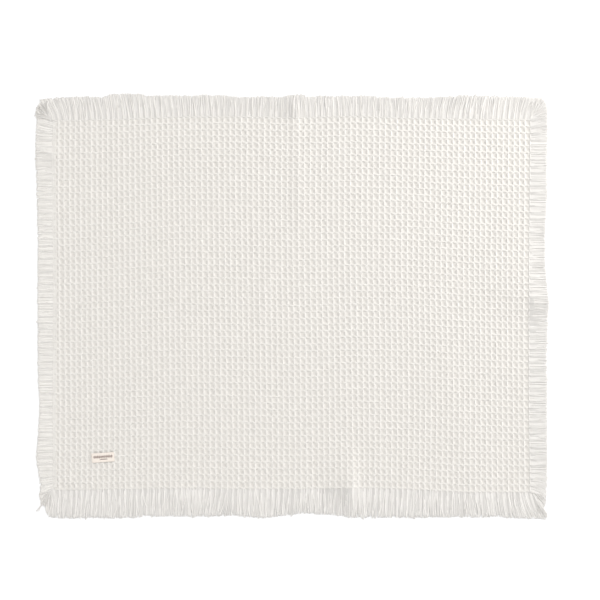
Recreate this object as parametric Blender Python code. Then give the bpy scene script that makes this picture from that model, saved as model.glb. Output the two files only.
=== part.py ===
"""Waffle weave cotton blanket, laid out flat with its face up.

One loosely woven cotton cloth with a frayed fringe on all four sides and a small woven label near one
corner. The cloth lies on z = 0, with X along its long side and Y along its short side.
"""

import math
import random

import bmesh
import bpy
from mathutils import Vector

MM = 0.001

# ---------------------------------------------------------------- sizes, in millimetres
CLOTH_THICK = 4.6
EDGE_THICK = 2.6
PLAIN_BAND = 21.0
PIECE_GAP = 0.3
STRIP_WIDTH = 6.0
STRIP_THICK = 2.4

CELL_COLUMNS = 85
CELL_ROWS = 57

LABEL_LENGTH = 68.0
LABEL_WIDTH = 28.0
LABEL_THICK = 0.9
LABEL_CORNER = 2.0
LABEL_CENTRE = (-562.0, -451.0)
LABEL_TURN = math.radians(4.0)

# This shift centres the box of the whole blanket, fringe included, on the origin.
BOX_SHIFT = (2.6625, 0.2772)

# ---------------------------------------------------------------- the outline
# Each table runs along one side of the cloth. "along" is the place on that side (x on the top and bottom,
# y on the left and right) and "out" is how far the line lies from the middle in the other direction.
TOP_EDGE = {
    "along": (-724, -480, -260, -155, -5, 55, 175, 325, 475, 716),
    "out": (563, 565, 566, 563, 560, 566, 563, 560, 562, 560),
}
BOTTOM_EDGE = {
    "along": (-724, -600, -480, -375, -270, 25, 160, 190, 475, 535, 592, 650, 722),
    "out": (-552, -549, -549, -556, -558, -553, -555, -557, -558, -564, -569, -564, -556),
}
LEFT_EDGE = {
    "along": (-552, -300, -20, 240, 420, 563),
    "out": (-722, -724, -721, -723, -725, -723),
}
RIGHT_EDGE = {
    "along": (-556, -300, -20, 60, 250, 560),
    "out": (721, 722, 720, 714, 715, 717),
}
TOP_TIPS = {
    "along": (-745, -690, -655, -556, -535, -452, -431, -28, -4, 34, 52, 85, 205, 280, 400, 490, 560, 712, 754),
    "out": (616, 621, 624, 624, 630, 630, 624, 624, 629, 628, 622, 624, 625, 621, 621, 623, 620, 618, 614),
}
BOTTOM_TIPS = {
    "along": (-733, -690, -475, -437, -258, -196, -154, -64, 34, 115, 160, 184, 592, 617, 643, 765),
    "out": (-625, -628, -629, -623, -624, -621, -629, -629, -617, -621, -625, -631, -629, -626, -631, -632),
}
LEFT_TIPS = {
    "along": (-593, -525, -453, -400, -310, -70, 50, 227, 380, 442, 547, 592),
    "out": (-751, -754, -763, -757, -751, -755, -757, -757, -763, -767, -761, -761),
}
RIGHT_TIPS = {
    "along": (-593, -563, -519, 18, 63, 120, 227, 317, 562, 612),
    "out": (755, 756, 760, 760, 750, 744, 744, 752, 754, 755),
}

# ---------------------------------------------------------------- the folds
# A fold is a soft ridge in the cloth. It runs from (x0, y0) to (x1, y1), stands "start", "middle" and "end"
# high there, and falls to the floor over "left" and "right" to either side, seen from its start.
FOLD_COLUMNS = ("x0", "y0", "x1", "y1", "start", "middle", "end", "left", "right")
FOLDS = (
    (181, -640, 178, -398, 15.0, 12.0, 0.0, 92, 34),
    (13, 640, 16, 492, 13.0, 9.0, 0.0, 26, 30),
    (16, 520, 26, 160, 2.0, 2.6, 0.0, 34, 30),
    (-48, 180, -112, -140, 0.0, 2.8, 0.0, 40, 36),
    (770, 36, 560, 74, 7.0, 4.0, 0.0, 66, 40),
    (398, 90, 566, -640, 0.0, 3.4, 2.6, 58, 70),
    (34, -640, 30, -500, 5.0, 3.2, 0.0, 66, 62),
    (-345, -640, -340, -510, 3.4, 2.2, 0.0, 84, 80),
    (-760, 470, -640, 430, 4.0, 2.2, 0.0, 46, 40),
)
CREST_ROUNDING = 0.1
CREST_POWER = 1.5

# The weave's columns are a little wider in the middle of the cloth than at its sides.
COLUMN_PITCH_AT_SIDES = 0.95
COLUMN_PITCH_SWELL = 0.0789
EDGE_ROUNDS = 6

# Lines of the cloth's grid, counted in cells: every third column and second row, and closer ones at the
# edges and at the crests of the two short folds. Column 0 is the outer edge of the plain band.
CLOTH_COLUMNS = sorted({0, 0.4, *range(1, 86, 3), 41, 42, 44, 45, 47, 48, 51, 53, 54, 56, 57, 85.5, 86})
CLOTH_ROWS = sorted({0.45, 1, *range(0, 57, 2), 31, 56.55, 57})

# ---------------------------------------------------------------- the fringe locks
# A lock is the bunch of yarns of one cell. Its stations run from its root to its tip: "length" is the share
# of the lock between a station and the one before, "width" the share of the cell, "thick" in millimetres,
# "turn" how much of the lock's lean it has there, and "fall" how far it has come down to the floor.
# All locks of a side lean together in slow waves, by up to SIDE_LEAN, and less near the corners.
STATION_COLUMNS = ("length", "width", "thick", "turn", "fall")
STATIONS = (
    (0.11, 0.78, 2.3, 0.30, 0.10),
    (0.33, 0.72, 2.1, 0.72, 0.50),
    (0.34, 0.66, 1.8, 1.02, 0.90),
    (0.22, 0.46, 1.1, 1.12, 1.00),
)
LOCK_SHORTER_BY = 8.0
LOCK_LEAN = math.radians(1.6)
SIDE_LEAN = math.radians(5.5)
LEAN_WAVES = (410.0, 233.0, 147.0)
CORNER_CALM = 0.3

# The last locks of a side fan out towards the corner, by these angles in degrees from the corner inwards,
# and are longer by these shares.
CORNER_FANS = {
    "top_left": ((34, 24, 15, 8, 4), (1.04, 1.00, 1.00, 1.00, 1.00)),
    "top_right": ((30, 21, 13, 7, 3), (1.02, 1.00, 1.00, 1.00, 1.00)),
    "bottom_left": ((8, 5, 3, 1, 0), (1.00, 1.00, 1.00, 1.00, 1.00)),
    "bottom_right": ((38, 27, 18, 11, 5), (1.14, 1.06, 1.02, 1.00, 1.00)),
    "left_top": ((34, 21, 11, 5, 0), (1.22, 1.12, 1.05, 1.00, 1.00)),
    "left_bottom": ((42, 25, 12, 5, 0), (1.25, 1.14, 1.06, 1.00, 1.00)),
    "right_top": ((34, 21, 11, 5, 0), (1.16, 1.10, 1.04, 1.00, 1.00)),
    "right_bottom": ((36, 22, 11, 5, 0), (1.18, 1.10, 1.04, 1.00, 1.00)),
}

# One more lock grows from each end of the left and right strips and fills the corner: its "length" in
# millimetres, and at each station how far it has turned outwards from the strip's own line, in degrees.
END_REACH = 5.0
END_LOCKS = {
    "left_top": (42.0, (24, 40, 50, 54)),
    "left_bottom": (40.0, (18, 22, 18, 10)),
    "right_top": (36.0, (26, 40, 46, 48)),
    "right_bottom": (40.0, (30, 42, 46, 46)),
}
END_WIDTHS = (7.6, 9.4, 9.0, 6.2)
SEED = 57


def line_at(table, along):
    """How far out a line lies at one place, straight between the rows of its table."""
    places = table["along"]
    outs = table["out"]
    if along <= places[0]:
        return float(outs[0])
    for k in range(1, len(places)):
        if along <= places[k]:
            share = (along - places[k - 1]) / (places[k] - places[k - 1])
            return outs[k - 1] + share * (outs[k] - outs[k - 1])
    return float(outs[-1])


def fold_height(x, y):
    """How high the underside of the cloth stands over the floor at (x, y)."""
    height = 0.0
    for row in FOLDS:
        fold = dict(zip(FOLD_COLUMNS, row))
        run = Vector((fold["x1"] - fold["x0"], fold["y1"] - fold["y0"]))
        offset = Vector((x - fold["x0"], y - fold["y0"]))
        share = offset.dot(run) / run.length_squared
        if share >= 1.0:
            continue
        share = max(share, 0.0)
        if share < 0.5:
            crest = fold["start"] + (fold["middle"] - fold["start"]) * share * 2.0
        else:
            crest = fold["middle"] + (fold["end"] - fold["middle"]) * (share * 2.0 - 1.0)
        across = run.cross(offset) / run.length
        reach = fold["left"] if across > 0.0 else fold["right"]
        away = abs(across) / reach
        if away >= 1.0:
            continue
        rounded = math.hypot(away, CREST_ROUNDING) - CREST_ROUNDING * (1.0 - away)
        height += crest * max(1.0 - rounded, 0.0) ** CREST_POWER
    return height


def column_share(k):
    """How far column line k lies across the cloth, from 0 at its left edge to 1 at its right."""
    width = line_at(RIGHT_EDGE, 0.0) - line_at(LEFT_EDGE, 0.0)
    band = PLAIN_BAND / width
    if k <= 1.0:
        return band * k
    t = (k - 1.0) / CELL_COLUMNS
    warped = COLUMN_PITCH_AT_SIDES * t + COLUMN_PITCH_SWELL * (1.0 - math.cos(math.pi * t)) / math.pi
    whole = COLUMN_PITCH_AT_SIDES + COLUMN_PITCH_SWELL * 2.0 / math.pi
    return band + (1.0 - band) * warped / whole


def cloth_point(k, j):
    """Where column line k and row line j cross, between the four uneven edges."""
    u = column_share(k)
    v = j / CELL_ROWS
    x = 0.0
    y = 0.0
    for _ in range(EDGE_ROUNDS):
        x = (1.0 - u) * line_at(LEFT_EDGE, y) + u * line_at(RIGHT_EDGE, y)
        y = (1.0 - v) * line_at(BOTTOM_EDGE, x) + v * line_at(TOP_EDGE, x)
    return Vector((x, y))


def rim_point(side, step):
    """A point of the cloth's rim, on the straight runs between its own grid lines."""
    lines = CLOTH_COLUMNS if side in ("top", "bottom") else CLOTH_ROWS
    below = max(line for line in lines if line <= step)
    above = min(line for line in lines if line >= step)
    ends = []
    for line in (below, above):
        if side in ("top", "bottom"):
            ends.append(cloth_point(line, CELL_ROWS if side == "top" else 0))
        else:
            ends.append(cloth_point(CELL_COLUMNS + 1 if side == "right" else 0, line))
    if above == below:
        return ends[0]
    return ends[0].lerp(ends[1], (step - below) / (above - below))


def new_object(name, mesh_maker, material, collection):
    """One named object from a mesh built in millimetres, set on the shared origin."""
    bm = bmesh.new()
    mesh_maker(bm)
    bmesh.ops.translate(bm, verts=bm.verts, vec=(BOX_SHIFT[0], BOX_SHIFT[1], 0.0))
    bmesh.ops.scale(bm, verts=bm.verts, vec=(MM, MM, MM))
    bmesh.ops.recalc_face_normals(bm, faces=bm.faces)
    mesh = bpy.data.meshes.new(name)
    bm.to_mesh(mesh)
    bm.free()
    mesh.materials.append(material)
    obj = bpy.data.objects.new(name, mesh)
    collection.objects.link(obj)
    return obj


def cotton(name, colour, roughness):
    """A plain matt cotton material."""
    material = bpy.data.materials.new(name)
    material.use_nodes = True
    shader = material.node_tree.nodes["Principled BSDF"]
    shader.inputs["Base Color"].default_value = (*colour, 1.0)
    shader.inputs["Roughness"].default_value = roughness
    shader.inputs["Metallic"].default_value = 0.0
    return material


def cloth_mesh(bm):
    """The woven cloth: a grid stretched between the four uneven edges, lifted by the folds and thickened."""
    wide = len(CLOTH_COLUMNS) - 1
    deep = len(CLOTH_ROWS) - 1
    thickness = bm.verts.layers.float.new("thickness")
    made = bmesh.ops.create_grid(bm, x_segments=wide, y_segments=deep, size=1.0)
    for vert in made["verts"]:
        i = round((vert.co.x + 1.0) / 2.0 * wide)
        j = round((vert.co.y + 1.0) / 2.0 * deep)
        x, y = cloth_point(CLOTH_COLUMNS[i], CLOTH_ROWS[j])
        vert.co = (x, y, fold_height(x, y))
        at_edge = i in (0, wide) or j in (0, deep)
        vert[thickness] = EDGE_THICK if at_edge else CLOTH_THICK
    extruded = bmesh.ops.extrude_face_region(bm, geom=list(bm.faces))
    for item in extruded["geom"]:
        if isinstance(item, bmesh.types.BMVert):
            item.co.z += item[thickness]


def lock_lean(rng, place, waves):
    """The lean of one lock: slow waves along the side and a little of its own."""
    slow = sum(math.sin(place / length * math.tau + phase) for length, phase in waves)
    return slow / len(waves) * SIDE_LEAN + rng.uniform(-LOCK_LEAN, LOCK_LEAN)


def fan_of(index, count, fans):
    """The corner lean in radians (towards the start of the side is negative) and the extra length."""
    angles, longer = fans[0]
    if index < len(angles):
        return -math.radians(angles[index]), longer[index]
    angles, longer = fans[1]
    back = count - 1 - index
    if back < len(angles):
        return math.radians(angles[back]), longer[back]
    return 0.0, 1.0


def fringe_maker(side, tips, count, fans):
    """A function that builds the fringe of one side: a narrow strip with a lock for every cell."""
    upright = side in ("left", "right")
    sign = 1.0 if side in ("top", "right") else -1.0
    outward = Vector((sign, 0.0)) if upright else Vector((0.0, sign))
    forward = Vector((0.0, 1.0)) if upright else Vector((1.0, 0.0))

    def strip_corners(step, beyond):
        spot = rim_point(side, step) + outward * beyond
        if upright and step in (0, count):
            spot += forward * math.copysign(END_REACH, step - 0.5)
        height = fold_height(spot.x, spot.y)
        return Vector((spot.x, spot.y, height)), Vector((spot.x, spot.y, height + STRIP_THICK))

    def lock_rings(rng, waves, k):
        """The stations of one lock, as its four corners each."""
        root = (rim_point(side, k) + rim_point(side, k + 1)) / 2.0
        pitch = (rim_point(side, k + 1) - rim_point(side, k)).length
        root += outward * (PIECE_GAP + STRIP_WIDTH)
        along = root.dot(forward)
        corner_lean, longer = fan_of(k, count, fans)
        calm = 1.0 if corner_lean == 0.0 else CORNER_CALM
        lean = corner_lean + calm * lock_lean(rng, along, waves)
        reach = abs(line_at(tips, along) - root.dot(outward) * sign) - rng.uniform(0.0, LOCK_SHORTER_BY)
        here = root
        rings = []
        for row in STATIONS:
            station = dict(zip(STATION_COLUMNS, row))
            angle = lean * station["turn"]
            ahead = forward * math.sin(angle) + outward * math.cos(angle)
            across = forward * math.cos(angle) - outward * math.sin(angle)
            here = here + ahead * reach * longer * station["length"]
            height = fold_height(here.x, here.y) * (1.0 - station["fall"])
            ring = {}
            for way in (0, 1):
                spot = here + across * (way - 0.5) * pitch * station["width"]
                ring[(way, 0)] = Vector((spot.x, spot.y, height))
                ring[(way, 1)] = Vector((spot.x, spot.y, height + station["thick"]))
            rings.append(ring)
        return rings

    def end_lock(bm, step):
        """The lock that grows from one end of the strip and turns outwards."""
        onward = forward * math.copysign(1.0, step - 0.5)
        length, turns = END_LOCKS[side + ("_bottom" if step == 0 else "_top")]
        corners = {}
        for way, beyond in ((0, PIECE_GAP), (1, PIECE_GAP + STRIP_WIDTH)):
            corners[(way, 0)], corners[(way, 1)] = strip_corners(step, beyond)
        middle = sum(corners.values(), Vector((0.0, 0.0, 0.0))) / 4.0
        here = middle.to_2d()
        rings = []
        for row, turn, width in zip(STATIONS, turns, END_WIDTHS):
            station = dict(zip(STATION_COLUMNS, row))
            angle = math.radians(turn)
            ahead = onward * math.cos(angle) + outward * math.sin(angle)
            across = outward * math.cos(angle) - onward * math.sin(angle)
            here = here + ahead * length * station["length"]
            ring = {}
            for way in (0, 1):
                spot = here + across * (way - 0.5) * width
                ring[(way, 0)] = Vector((spot.x, spot.y, 0.0))
                ring[(way, 1)] = Vector((spot.x, spot.y, station["thick"]))
            rings.append(ring)
        grow_lock(bm, face_with(bm, corners), corners, rings)

    def build(bm):
        rng = random.Random(SEED + len(side))
        waves = [(length, rng.uniform(0.0, math.tau)) for length in LEAN_WAVES]
        made = bmesh.ops.create_grid(bm, x_segments=count, y_segments=1, size=1.0)
        for vert in made["verts"]:
            step = round((vert.co.x + 1.0) / 2.0 * count)
            beyond = PIECE_GAP if vert.co.y < 0.0 else PIECE_GAP + STRIP_WIDTH
            vert.co = strip_corners(step, beyond)[0]
        extruded = bmesh.ops.extrude_face_region(bm, geom=list(bm.faces))
        for item in extruded["geom"]:
            if isinstance(item, bmesh.types.BMVert):
                item.co.z += STRIP_THICK
        for k in range(count):
            corners = {}
            for way in (0, 1):
                corners[(way, 0)], corners[(way, 1)] = strip_corners(k + way, PIECE_GAP + STRIP_WIDTH)
            grow_lock(bm, face_with(bm, corners), corners, lock_rings(rng, waves, k))
        if upright:
            end_lock(bm, 0)
            end_lock(bm, count)

    return build


def face_with(bm, corners):
    """The face whose four points are these corners."""
    middle = sum(corners.values(), Vector()) / 4.0
    return min(bm.faces, key=lambda face: (face.calc_center_median() - middle).length)


def grow_lock(bm, face, corners, rings):
    """Extrudes one face of the strip through the stations of its lock."""
    for ring in rings:
        made = bmesh.ops.extrude_discrete_faces(bm, faces=[face])
        face = made["faces"][0]
        for vert in face.verts:
            key = min(corners, key=lambda name: (corners[name] - vert.co).length)
            vert.co = ring[key]
        corners = ring


def label_mesh(bm):
    """The woven label: a thin plate with soft corners, laid on the cloth and turned a little."""
    bmesh.ops.create_cube(bm, size=1.0)
    bmesh.ops.scale(bm, verts=bm.verts, vec=(LABEL_LENGTH, LABEL_WIDTH, LABEL_THICK))
    upright = [edge for edge in bm.edges if abs(edge.verts[0].co.z - edge.verts[1].co.z) > LABEL_THICK / 2.0]
    bmesh.ops.bevel(bm, geom=upright, offset=LABEL_CORNER, segments=3, profile=0.5, affect="EDGES")
    turn = Vector((math.cos(LABEL_TURN), math.sin(LABEL_TURN)))
    rise = CLOTH_THICK + PIECE_GAP + LABEL_THICK / 2.0
    for vert in bm.verts:
        x, y, z = vert.co
        vert.co = (
            LABEL_CENTRE[0] + x * turn.x - y * turn.y,
            LABEL_CENTRE[1] + x * turn.y + y * turn.x,
            z + rise,
        )


def main():
    for obj in list(bpy.data.objects):
        bpy.data.objects.remove(obj, do_unlink=True)
    collection = bpy.data.collections.new("waffle_blanket")
    bpy.context.scene.collection.children.link(collection)

    cloth_cotton = cotton("waffle_cotton", (0.80, 0.77, 0.73), 0.92)
    fringe_cotton = cotton("loose_cotton_yarn", (0.79, 0.76, 0.72), 0.92)
    label_cotton = cotton("woven_label_tape", (0.84, 0.78, 0.70), 0.80)

    new_object("waffle_cloth", cloth_mesh, cloth_cotton, collection)

    sides = (
        ("top", TOP_TIPS, CELL_COLUMNS + 1, ("top_left", "top_right")),
        ("bottom", BOTTOM_TIPS, CELL_COLUMNS + 1, ("bottom_left", "bottom_right")),
        ("left", LEFT_TIPS, CELL_ROWS, ("left_bottom", "left_top")),
        ("right", RIGHT_TIPS, CELL_ROWS, ("right_bottom", "right_top")),
    )
    for side, tips, count, corners in sides:
        fans = [CORNER_FANS[corner] for corner in corners]
        new_object("fringe_" + side, fringe_maker(side, tips, count, fans), fringe_cotton, collection)

    new_object("label_patch", label_mesh, label_cotton, collection)


main()
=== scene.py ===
"""Looks of the waffle weave cotton blanket, laid out flat with its face up.

The cloth is a honeycomb weave. Its ground is one closed sheet that rises to the face where the ridges cross
and sinks to the back in the middle of each cell. On it lie the floats: warp yarns that make the ridges along
Y and weft yarns that make the ridges along X, on the face and, half a cell further, on the back. All four
edges are frayed into loose yarns. Lengths are in millimetres until a mesh is made.
"""

import bpy
import numpy as np
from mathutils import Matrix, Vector


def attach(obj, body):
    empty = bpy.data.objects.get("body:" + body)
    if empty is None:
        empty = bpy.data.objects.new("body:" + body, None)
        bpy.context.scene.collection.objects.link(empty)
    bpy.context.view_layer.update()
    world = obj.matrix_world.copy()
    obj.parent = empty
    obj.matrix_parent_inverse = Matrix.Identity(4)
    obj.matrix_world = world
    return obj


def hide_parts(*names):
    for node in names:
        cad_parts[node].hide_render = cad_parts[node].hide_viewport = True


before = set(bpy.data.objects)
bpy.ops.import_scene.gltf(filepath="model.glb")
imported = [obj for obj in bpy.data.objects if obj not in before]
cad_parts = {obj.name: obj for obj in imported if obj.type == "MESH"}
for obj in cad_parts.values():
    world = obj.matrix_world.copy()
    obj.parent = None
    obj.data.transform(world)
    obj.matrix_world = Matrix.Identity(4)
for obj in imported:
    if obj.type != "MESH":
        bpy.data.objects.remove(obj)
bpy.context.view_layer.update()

MM = 0.001
BOX_SHIFT = np.array((2.6625, 0.2772, 0.0))
TURN = 2.0 * np.pi

# -------- the outline
# A line is a row of places along its side and a row of how far out from the middle it lies there. The cloth's
# edges are those of the solids, and the tips of the fringe lie a few millimetres further out at some places.
TOP_EDGE = (
    (-724, -480, -260, -155, -5, 55, 175, 325, 475, 716),
    (563, 565, 566, 563, 560, 566, 563, 560, 562, 560),
)
BOTTOM_EDGE = (
    (-724, -600, -480, -375, -270, 25, 160, 190, 475, 535, 592, 650, 722),
    (-552, -549, -549, -556, -558, -553, -555, -557, -558, -564, -569, -564, -556),
)
LEFT_EDGE = (
    (-552, -300, -20, 240, 420, 563),
    (-722, -724, -721, -723, -725, -723),
)
RIGHT_EDGE = (
    (-556, -300, -20, 60, 250, 560),
    (721, 722, 720, 714, 715, 717),
)
TOP_TIPS = (
    (
        *(-745, -690, -655, -556, -535, -452, -431, -348, -200, -150, -28),
        *(-4, 34, 52, 85, 205, 280, 400, 490, 560, 712, 754),
    ),
    (
        *(617, 622, 625, 625, 632, 634, 628, 628, 629, 624, 625),
        *(631, 631, 625, 627, 629, 624, 623, 629, 628, 625, 620),
    ),
)
BOTTOM_TIPS = (
    (
        *(-733, -690, -600, -475, -437, -258, -196, -154, -64),
        *(34, 115, 160, 184, 592, 617, 643, 765),
    ),
    (
        *(-628, -630, -631, -633, -626, -627, -624, -628, -631),
        *(-618, -622, -626, -631, -629, -625, -631, -634),
    ),
)
LEFT_TIPS = (
    (-593, -525, -453, -400, -310, -180, -70, 50, 227, 380, 442, 547, 592),
    (-749, -752, -762, -758, -752, -757, -757, -757, -757, -761, -765, -761, -761),
)
RIGHT_TIPS = (
    (-593, -563, -519, -300, -120, 18, 63, 120, 227, 317, 450, 562, 612),
    (759, 760, 763, 763, 762, 767, 763, 757, 757, 762, 763, 766, 766),
)

# A fold is a soft ridge from (x0, y0) to (x1, y1), "start", "middle" and "end" high, that falls to the
# floor over "left" and "right" to either side, seen from its start.
FOLD_COLUMNS = ("x0", "y0", "x1", "y1", "start", "middle", "end", "left", "right")
FOLDS = (
    (181, -640, 178, -398, 4.0, 11.5, 0.0, 105, 34),
    (13, 640, 16, 492, 4.2, 4.0, 0.0, 20, 64),
    (16, 520, 26, 160, 2.0, 2.6, 0.0, 34, 30),
    (-48, 180, -112, -140, 0.0, 2.8, 0.0, 40, 36),
    (770, 26, 560, 52, 9.0, 6.0, 0.0, 90, 280),
    (398, 90, 566, -640, 0.0, 2.6, 2.0, 110, 120),
    (34, -640, 30, -500, 5.0, 3.2, 0.0, 66, 62),
    (-345, -640, -340, -510, 3.4, 2.2, 0.0, 84, 80),
    (-760, 470, -640, 430, 4.0, 2.2, 0.0, 46, 40),
)
CREST_ROUNDING = 0.1
CREST_POWER = 1.5

# -------- the weave's lattice
# Ridge lines lie at whole numbers of cells: column 1 to 85 from the left and row 1 to 58 from the top. The
# two tables say how many hundredths of a cell the weave runs ahead of a straight lattice, at the places X
# from left to right and Y from top to bottom, because the cloth was laid out a little askew.
COLUMN_PITCH = 16.66
ROW_PITCH = 19.33
COLUMN_AT_MIDDLE = 42.16
ROW_AT_MIDDLE = 29.985
AHEAD_X = (-673, -503, -333, -163, 7, 178, 348, 518, 688)
AHEAD_Y = (526, 317, 108, -101, -310, -519)
COLUMNS_AHEAD = (
    (52, 92, 108, 92, 58, 30, -6, -6, 6),
    (62, 86, 98, 88, 68, 39, 10, 2, 16),
    (46, 76, 84, 76, 62, 38, 20, 16, 34),
    (42, 72, 72, 58, 40, 16, -4, -2, 34),
    (30, 60, 58, 44, 30, 2, -10, -10, 30),
    (44, 66, 54, 38, 24, -14, 6, -4, 10),
)
ROWS_AHEAD = (
    (-36, -14, 22, 28, 4, 36, 2, -14, -24),
    (-60, -22, 44, 42, 22, 42, 26, -22, -44),
    (-62, -18, 40, 30, 10, 36, 20, -24, -52),
    (-56, -16, 30, 22, 0, 33, 17, -24, -58),
    (-44, -8, 26, 16, -3, 28, 10, -28, -66),
    (-26, -14, 6, -8, -10, 10, -12, -58, -58),
)
LATTICE_ROUNDS = 5
UNEVEN = 0.55
THREADS_PER_CELL = 8
FIRST_COLUMN, LAST_COLUMN = 1, 85
FIRST_ROW, LAST_ROW = 1, 58
FIRST_FLOAT = 0.5

# Heights over the underside of the cloth. The ground is GROUND_THICK thick, and its middle layer swings by
# RELIEF either way from MID_HEIGHT. BEYOND says how many cells past the last ridges it begins to flatten and
# how many past them it is flat, BAND_FADE between which columns the plain band becomes waffle, and BAND_DIP
# between which ones it comes up from the fringe. Under the fringe it lies BORDER_FALL lower.
CLOTH_THICK = 4.6
MID_HEIGHT = 2.3
RELIEF = 1.6
GROUND_THICK = 1.2
EDGE_INSET = 0.8
TOP_OVERLAP = 0.07
BORDER_FALL = 0.8
BEYOND = (0.05, 0.35)
BAND_FADE = (0.25, 0.75)
BAND_DIP = (-0.35, -0.08)

# The ground's grid: points per cell, and where its columns and rows begin and stop, in points.
GRID_PER_CELL = 3
GRID_COLUMNS = (-4, 262)
GRID_ROWS = (0, 180)

# The floats of a ridge. "aside" is how far a float lies from the ridge line and "half" how far it reaches
# from its middle, both in cells, "axis" its height in the middle, "radius" its own, and "rings" the number
# of its rings, whose places and sizes along it follow. After FLOAT_POWER come the spreads by chance, of its
# place along and across the ridge and its slant in cells, its length, its height and its thickness.
YARN_COLUMNS = ("aside", "half", "axis", "radius", "rings")
FACE_WARP_LONG = ((0.0, 0.5, 4.08, 1.12, 3),)
FACE_WEFT_LONG = ((0.0, 0.49, 3.88, 1.06, 3),)
FACE_WARP_SHORT = ((-0.112, 0.38, 3.4, 1.05, 2), (0.112, 0.38, 3.4, 1.05, 2))
FACE_WEFT_SHORT = ((-0.098, 0.37, 3.2, 1.02, 2), (0.098, 0.37, 3.2, 1.02, 2))
BACK_YARNS = ((-0.112, 0.36, 3.4, 1.05, 1), (0.0, 0.48, 3.98, 1.12, 2), (0.112, 0.36, 3.4, 1.05, 1))
RING_PLACES = {1: (0.0,), 2: (-0.52, 0.52), 3: (-0.76, 0.0, 0.76)}
RING_SIZES = {1: (1.08,), 2: (0.98, 0.98), 3: (0.86, 1.0, 0.86)}
FLOAT_POWER = 3.0
FLOAT_SHIFT, FLOAT_ASIDE, FLOAT_SKEW = 0.014, 0.01, 0.012
FLOAT_STRETCH, FLOAT_LIFT, FLOAT_SWELL = 0.04, 0.12, 0.06
BACK_INSET = 2.0

# -------- the label and the plain band
LABEL_LENGTH = 68.0
LABEL_WIDTH = 28.0
LABEL_THICK = 0.9
LABEL_CORNER = 2.0
LABEL_CENTRE = (-562.0, -451.0)
LABEL_TURN = np.radians(4.0)
LABEL_GRID = (69, 29)
LABEL_OVER_CLOTH = 0.55
LABEL_SAG = 0.22
LABEL_END_DROP = 0.12
LABEL_END_REACH = 5.0
LABEL_SELVEDGE = 1.2
LABEL_SELVEDGE_SHARE = 0.55

STITCHES_PER_END = 8
STITCH_INSET = (2.6, 2.4)
STITCH_HALF = 1.15
STITCH_RADIUS = 0.26
STITCH_ARCH, STITCH_SINK = 0.34, 0.24

LOZENGES = 11
LOZENGE_STEP = 5.2
LOZENGE_HEIGHT = 10.4
LOZENGE_HEART = 0.3
LOZENGE_UP = 2.4
BAR_AT = (2.0, -5.2)
BAR_LENGTH = 22.0
BAR_HEIGHT = 2.2
RIB_PITCH = 0.8

# The band's yarns lie side by side over BAND_WIDTH, from BAND_START inside the cloth's edge. Their axes rise
# from the first of BAND_AXES at the outermost yarn to the second one past the middle of the band.
BAND_START = 10.9
BAND_WIDTH = 11.5
BAND_YARNS = 5
BAND_AXES = (2.5, 2.9)
BAND_RADIUS = 1.25
BAND_COLUMN = -0.6
BAND_ROWS = (0.6, 58.3, 0.5)
BAND_SWAY, BAND_LIFT = 0.14, 0.08

# -------- the fringe
# Along a side lies a mat of loose yarns, one for every thread, and on it the yarns of the ridges. "ridge_end"
# is the lattice line where the last floats end and "mat_start" the one where the mat begins, "root" how high
# the mat starts there and "lift" how much higher the ridge yarns do. "curl" is how far the ridge yarns swing
# sideways and "mat_width" the radius of the mat's yarns in thread spacings. "first" and "last" are the cells
# between which threads come out, "base" is the heading straight out in degrees, "turn" which way a lean
# goes, "lean" the lean in degrees at some places along the side, and "fans" the outward lean at every cell
# from each end inwards. "sway" and "own_lean" are the spreads of a side's slow drift in lean and of the ridge
# yarns' own leans.
SIDES = {
    "top": {
        "line": TOP_EDGE, "tips": TOP_TIPS, "first": -0.62, "last": 85.4,
        "mat_start": 1.11, "ridge_end": 1.0, "root": 3.1, "lift": 0.7, "curl": 1.9, "mat_width": 0.72,
        "base": 90.0, "turn": -1.0, "sway": 2.6, "own_lean": 4.5,
        "lean": (
            (-700, -560, -400, -250, -100, 0, 30, 200, 330, 450, 560, 700),
            (-9, -12, -10, -6, 4, 2, -7, 0, 6, 13, 12, 8),
        ),
        "fans": ((34, 24, 15, 8, 4), (30, 21, 13, 7, 3)),
    },
    "bottom": {
        "line": BOTTOM_EDGE, "tips": BOTTOM_TIPS, "first": -0.62, "last": 85.4,
        "mat_start": 57.88, "ridge_end": 58.0, "root": 2.75, "lift": 0.2, "curl": 3.2, "mat_width": 0.8,
        "base": -90.0, "turn": 1.0, "sway": 2.6, "own_lean": 4.5,
        "lean": (
            (-700, -569, -440, -300, -190, -110, -60, 100, 450, 560, 640, 720),
            (0, -8, 0, 2, -9, 3, -6, 0, 0, 6, 14, 22),
        ),
        "fans": ((3, 2, 1, 0, 0), (30, 21, 13, 7, 3)),
    },
    "left": {
        "line": LEFT_EDGE, "tips": LEFT_TIPS, "first": 0.6, "last": 58.2,
        "mat_start": 0.03, "ridge_end": -0.02, "root": 2.1, "lift": 0.4, "curl": 1.8, "mat_width": 0.78,
        "base": 180.0, "turn": 1.0, "sway": 0.9, "own_lean": 2.8,
        "lean": ((-600, 600), (0, 0)),
        "fans": ((34, 21, 11, 5, 0), (38, 24, 12, 5, 0)),
    },
    "right": {
        "line": RIGHT_EDGE, "tips": RIGHT_TIPS, "first": 0.6, "last": 58.2,
        "mat_start": 84.87, "ridge_end": 85.0, "root": 3.5, "lift": 0.3, "curl": 1.5, "mat_width": 0.82,
        "base": 0.0, "turn": -1.0, "sway": 0.9, "own_lean": 2.8,
        "lean": ((-600, 600), (0, 0)),
        "fans": ((34, 21, 11, 5, 0), (36, 22, 11, 5, 0)),
    },
}
UPRIGHT_SIDES = ("left", "right")

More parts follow.
